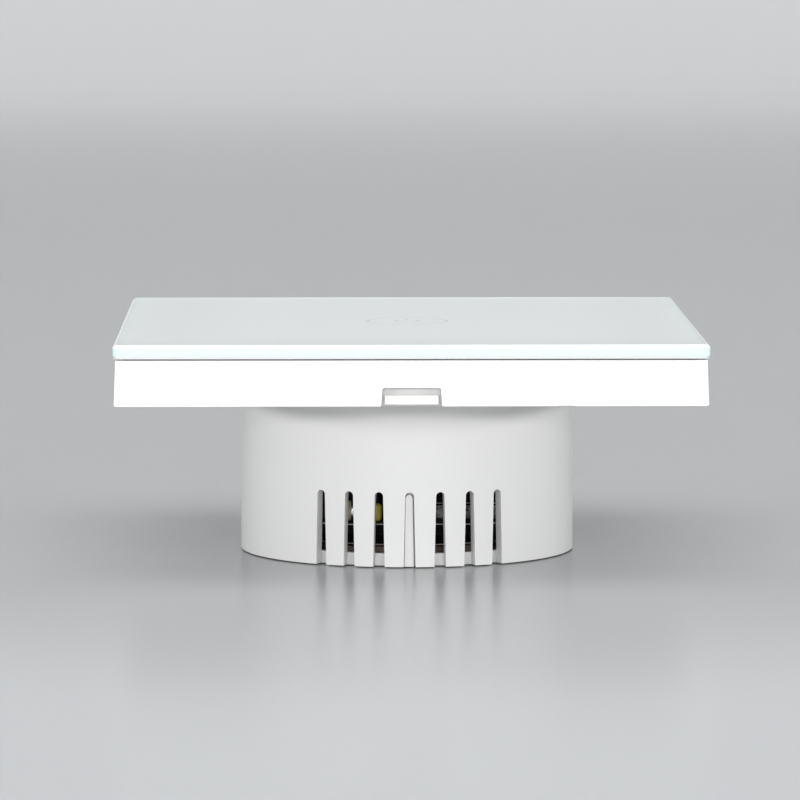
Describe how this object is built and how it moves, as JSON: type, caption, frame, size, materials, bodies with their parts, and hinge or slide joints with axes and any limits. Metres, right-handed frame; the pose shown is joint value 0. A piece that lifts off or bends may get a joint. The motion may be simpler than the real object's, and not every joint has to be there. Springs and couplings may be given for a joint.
{
  "type": "touch light switch",
  "caption": "Square glass touch switch plate on a clip-on frame, with a vented round rear housing for a wall box.",
  "frame": {"origin": "centre of the round housing's rear face, on which the switch lies", "axes": "+Z out of the glass face, -Y towards the edge with the pry notch, +X to the right when the notch faces the viewer"},
  "size_m": [0.086, 0.086, 0.0345],
  "materials": {
    "clear_glass": "polished float glass with a pale green tint",
    "grey_tape": "foam tape, grey",
    "white_frame": "fine satin moulding",
    "milky_plastic": "milky diffuser",
    "white_plate": "satin moulding",
    "spring_steel": "bare spring steel",
    "board_green": "solder mask over fibreglass",
    "spring_brass": "plated bronze wire",
    "chip_black": "moulded epoxy",
    "lamp_resin": "clear and yellow resin",
    "socket_black": "black moulding",
    "pin_brass": "gold-plated pins",
    "white_housing": "fine satin moulding",
    "white_cover": "satin moulding",
    "board_tan": "solder mask over fibreglass, pale edge",
    "terminal_black": "heat-proof black moulding",
    "bar_brass": "tinned brass strip",
    "zinc_steel": "bright zinc",
    "cage_steel": "zinc-plated steel",
    "relay_shell": "moulded case",
    "relay_resin": "grey sealing resin",
    "relay_iron": "soft iron",
    "bobbin_plastic": "natural moulding",
    "coil_copper": "enamelled copper wire",
    "leaf_copper": "copper alloy strip",
    "film_dark": "dark moulded box",
    "film_yellow": "yellow dipped lacquer",
    "can_sleeve": "dark shrink sleeve",
    "ferrite": "fired ferrite",
    "winding_tape": "yellow winding tape",
    "varistor_blue": "dipped lacquer",
    "fuse_ceramic": "pale ceramic with tinned caps"
  },
  "bodies": {
    "base": {"mounting_plate": "white_plate", "clip_springs": "spring_steel", "touch_board": "board_green", "touch_spring": "spring_brass", "touch_chip": "chip_black", "indicator_lamps": "lamp_resin", "board_socket": "socket_black", "header_strips": "socket_black", "header_pins": "pin_brass", "round_housing": "white_housing", "back_cover": "white_cover", "power_board": "board_tan", "terminal_block": "terminal_black", "contact_bars": "bar_brass", "relay_case": "relay_shell", "relay_base": "relay_resin", "relay_yoke": "relay_iron", "relay_bobbin": "bobbin_plastic", "relay_coil": "coil_copper", "fixed_contacts": "leaf_copper", "film_capacitor": "film_dark", "dipped_capacitor": "film_yellow", "electrolytic_capacitor": "can_sleeve", "transformer_core": "ferrite", "transformer_bobbin": "winding_tape", "varistor": "varistor_blue", "fuse_resistor": "fuse_ceramic", "bridge_rectifier": "chip_black", "supply_chip": "chip_black", "housing_screws": "zinc_steel", "board_screws": "zinc_steel", "cover_screws": "zinc_steel"},
    "front_panel": {"glass_panel": "clear_glass", "glass_tape": "grey_tape", "front_frame": "white_frame", "light_guide": "milky_plastic"},
    "armature": {"relay_armature": "relay_iron", "contact_leaf": "leaf_copper"},
    "screw_1": {"terminal_screw_1": "zinc_steel"},
    "cage_1": {"clamp_cage_1": "cage_steel"},
    "screw_2": {"terminal_screw_2": "zinc_steel"},
    "cage_2": {"clamp_cage_2": "cage_steel"},
    "screw_3": {"terminal_screw_3": "zinc_steel"},
    "cage_3": {"clamp_cage_3": "cage_steel"}
  },
  "joints": [
    {"name": "panel_lift", "type": "slide", "parent": "base", "child": "front_panel", "axis": [0, 0, 1], "range_m": [0, 0.02]},
    {"name": "armature_swing", "type": "hinge", "parent": "base", "child": "armature", "pos_m": [0.001, -0.0068, 0.0159], "axis": [0, 1, 0], "range_deg": [0, 3.4], "stiffness_Nm_per_rad": 0.01, "springref_deg": -17.19},
    {"name": "terminal_turn_1", "type": "hinge", "parent": "base", "child": "screw_1", "pos_m": [-0.0095, 0.0152, 0.0066], "axis": [0, -1, 0], "range_deg": [0, 1351]},
    {"name": "clamp_rise_1", "type": "slide", "parent": "base", "child": "cage_1", "axis": [0, 1, 0], "range_m": [0, 0.00187]},
    {"name": "terminal_turn_2", "type": "hinge", "parent": "base", "child": "screw_2", "pos_m": [0, 0.0152, 0.0066], "axis": [0, -1, 0], "range_deg": [0, 1351]},
    {"name": "clamp_rise_2", "type": "slide", "parent": "base", "child": "cage_2", "axis": [0, 1, 0], "range_m": [0, 0.00187]},
    {"name": "terminal_turn_3", "type": "hinge", "parent": "base", "child": "screw_3", "pos_m": [0.0095, 0.0152, 0.0066], "axis": [0, -1, 0], "range_deg": [0, 1351]},
    {"name": "clamp_rise_3", "type": "slide", "parent": "base", "child": "cage_3", "axis": [0, 1, 0], "range_m": [0, 0.00187]}
  ],
  "couplings": [
    {"joint": "terminal_turn_1", "follows": "clamp_rise_1", "rad_per_m": 12566},
    {"joint": "terminal_turn_2", "follows": "clamp_rise_2", "rad_per_m": 12566},
    {"joint": "terminal_turn_3", "follows": "clamp_rise_3", "rad_per_m": 12566}
  ]
}
